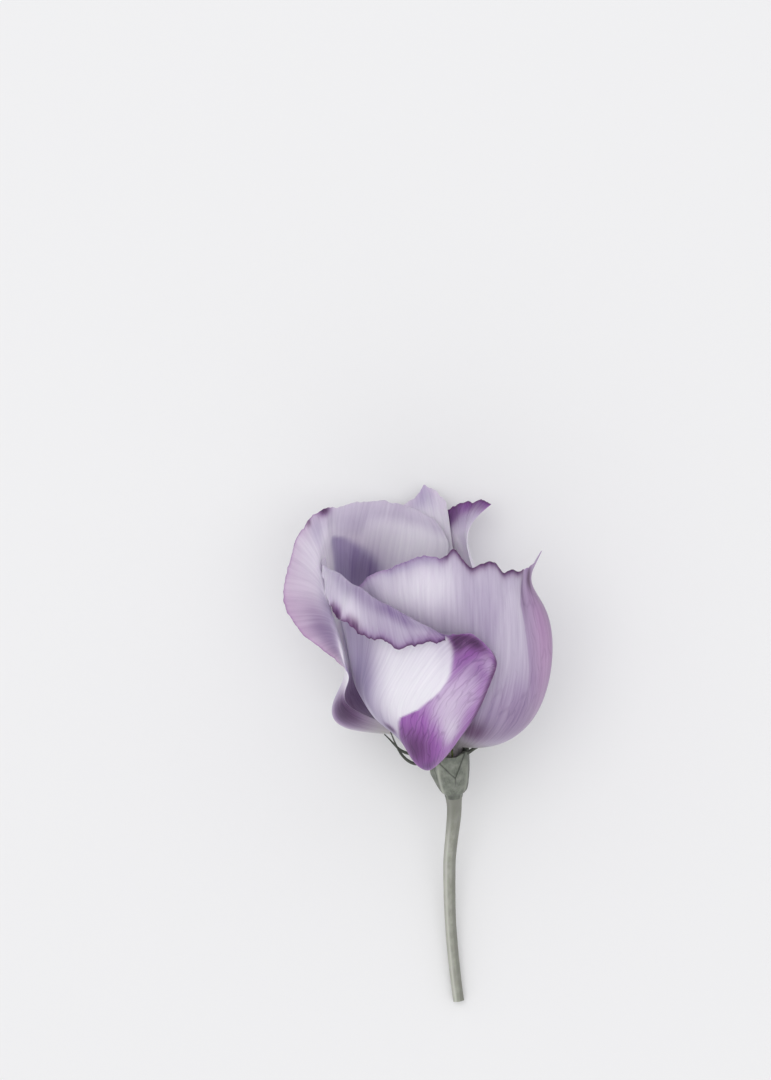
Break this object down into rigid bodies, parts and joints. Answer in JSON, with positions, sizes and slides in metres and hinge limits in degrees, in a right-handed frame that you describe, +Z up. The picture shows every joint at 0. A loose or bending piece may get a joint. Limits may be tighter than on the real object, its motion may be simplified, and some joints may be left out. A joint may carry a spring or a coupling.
{
  "type": "lisianthus flower",
  "caption": "Single cut bloom lying on its back: overlapping ruffled petals in a loose spiral cup, a fluted calyx with long thin awns, and a slender bare stem.",
  "frame": {"origin": "middle of the bounding box, on the surface the bloom lies on", "axes": "+Z up from the surface, +Y along the stem towards the mouth of the bloom, +X to the right as the bloom is seen from above with its mouth away"},
  "size_m": [0.0599, 0.1176, 0.0511],
  "materials": {
    "petal": "soft, faintly satiny petal with fine veins, white to violet",
    "calyx": "grey-green, finely ribbed",
    "stem": "smooth pale grey-green with a waxy bloom",
    "pistil": "yellow-green, slightly velvety",
    "stamen": "pale filament with a mealy yellow anther"
  },
  "bodies": {
    "root": {"stem": "stem", "calyx": "calyx", "petal_1": "petal", "petal_2": "petal", "petal_3": "petal", "petal_4": "petal", "petal_5": "petal", "pistil": "pistil", "stamen_1": "stamen", "stamen_2": "stamen", "stamen_3": "stamen", "stamen_4": "stamen", "stamen_5": "stamen"}
  },
  "joints": []
}
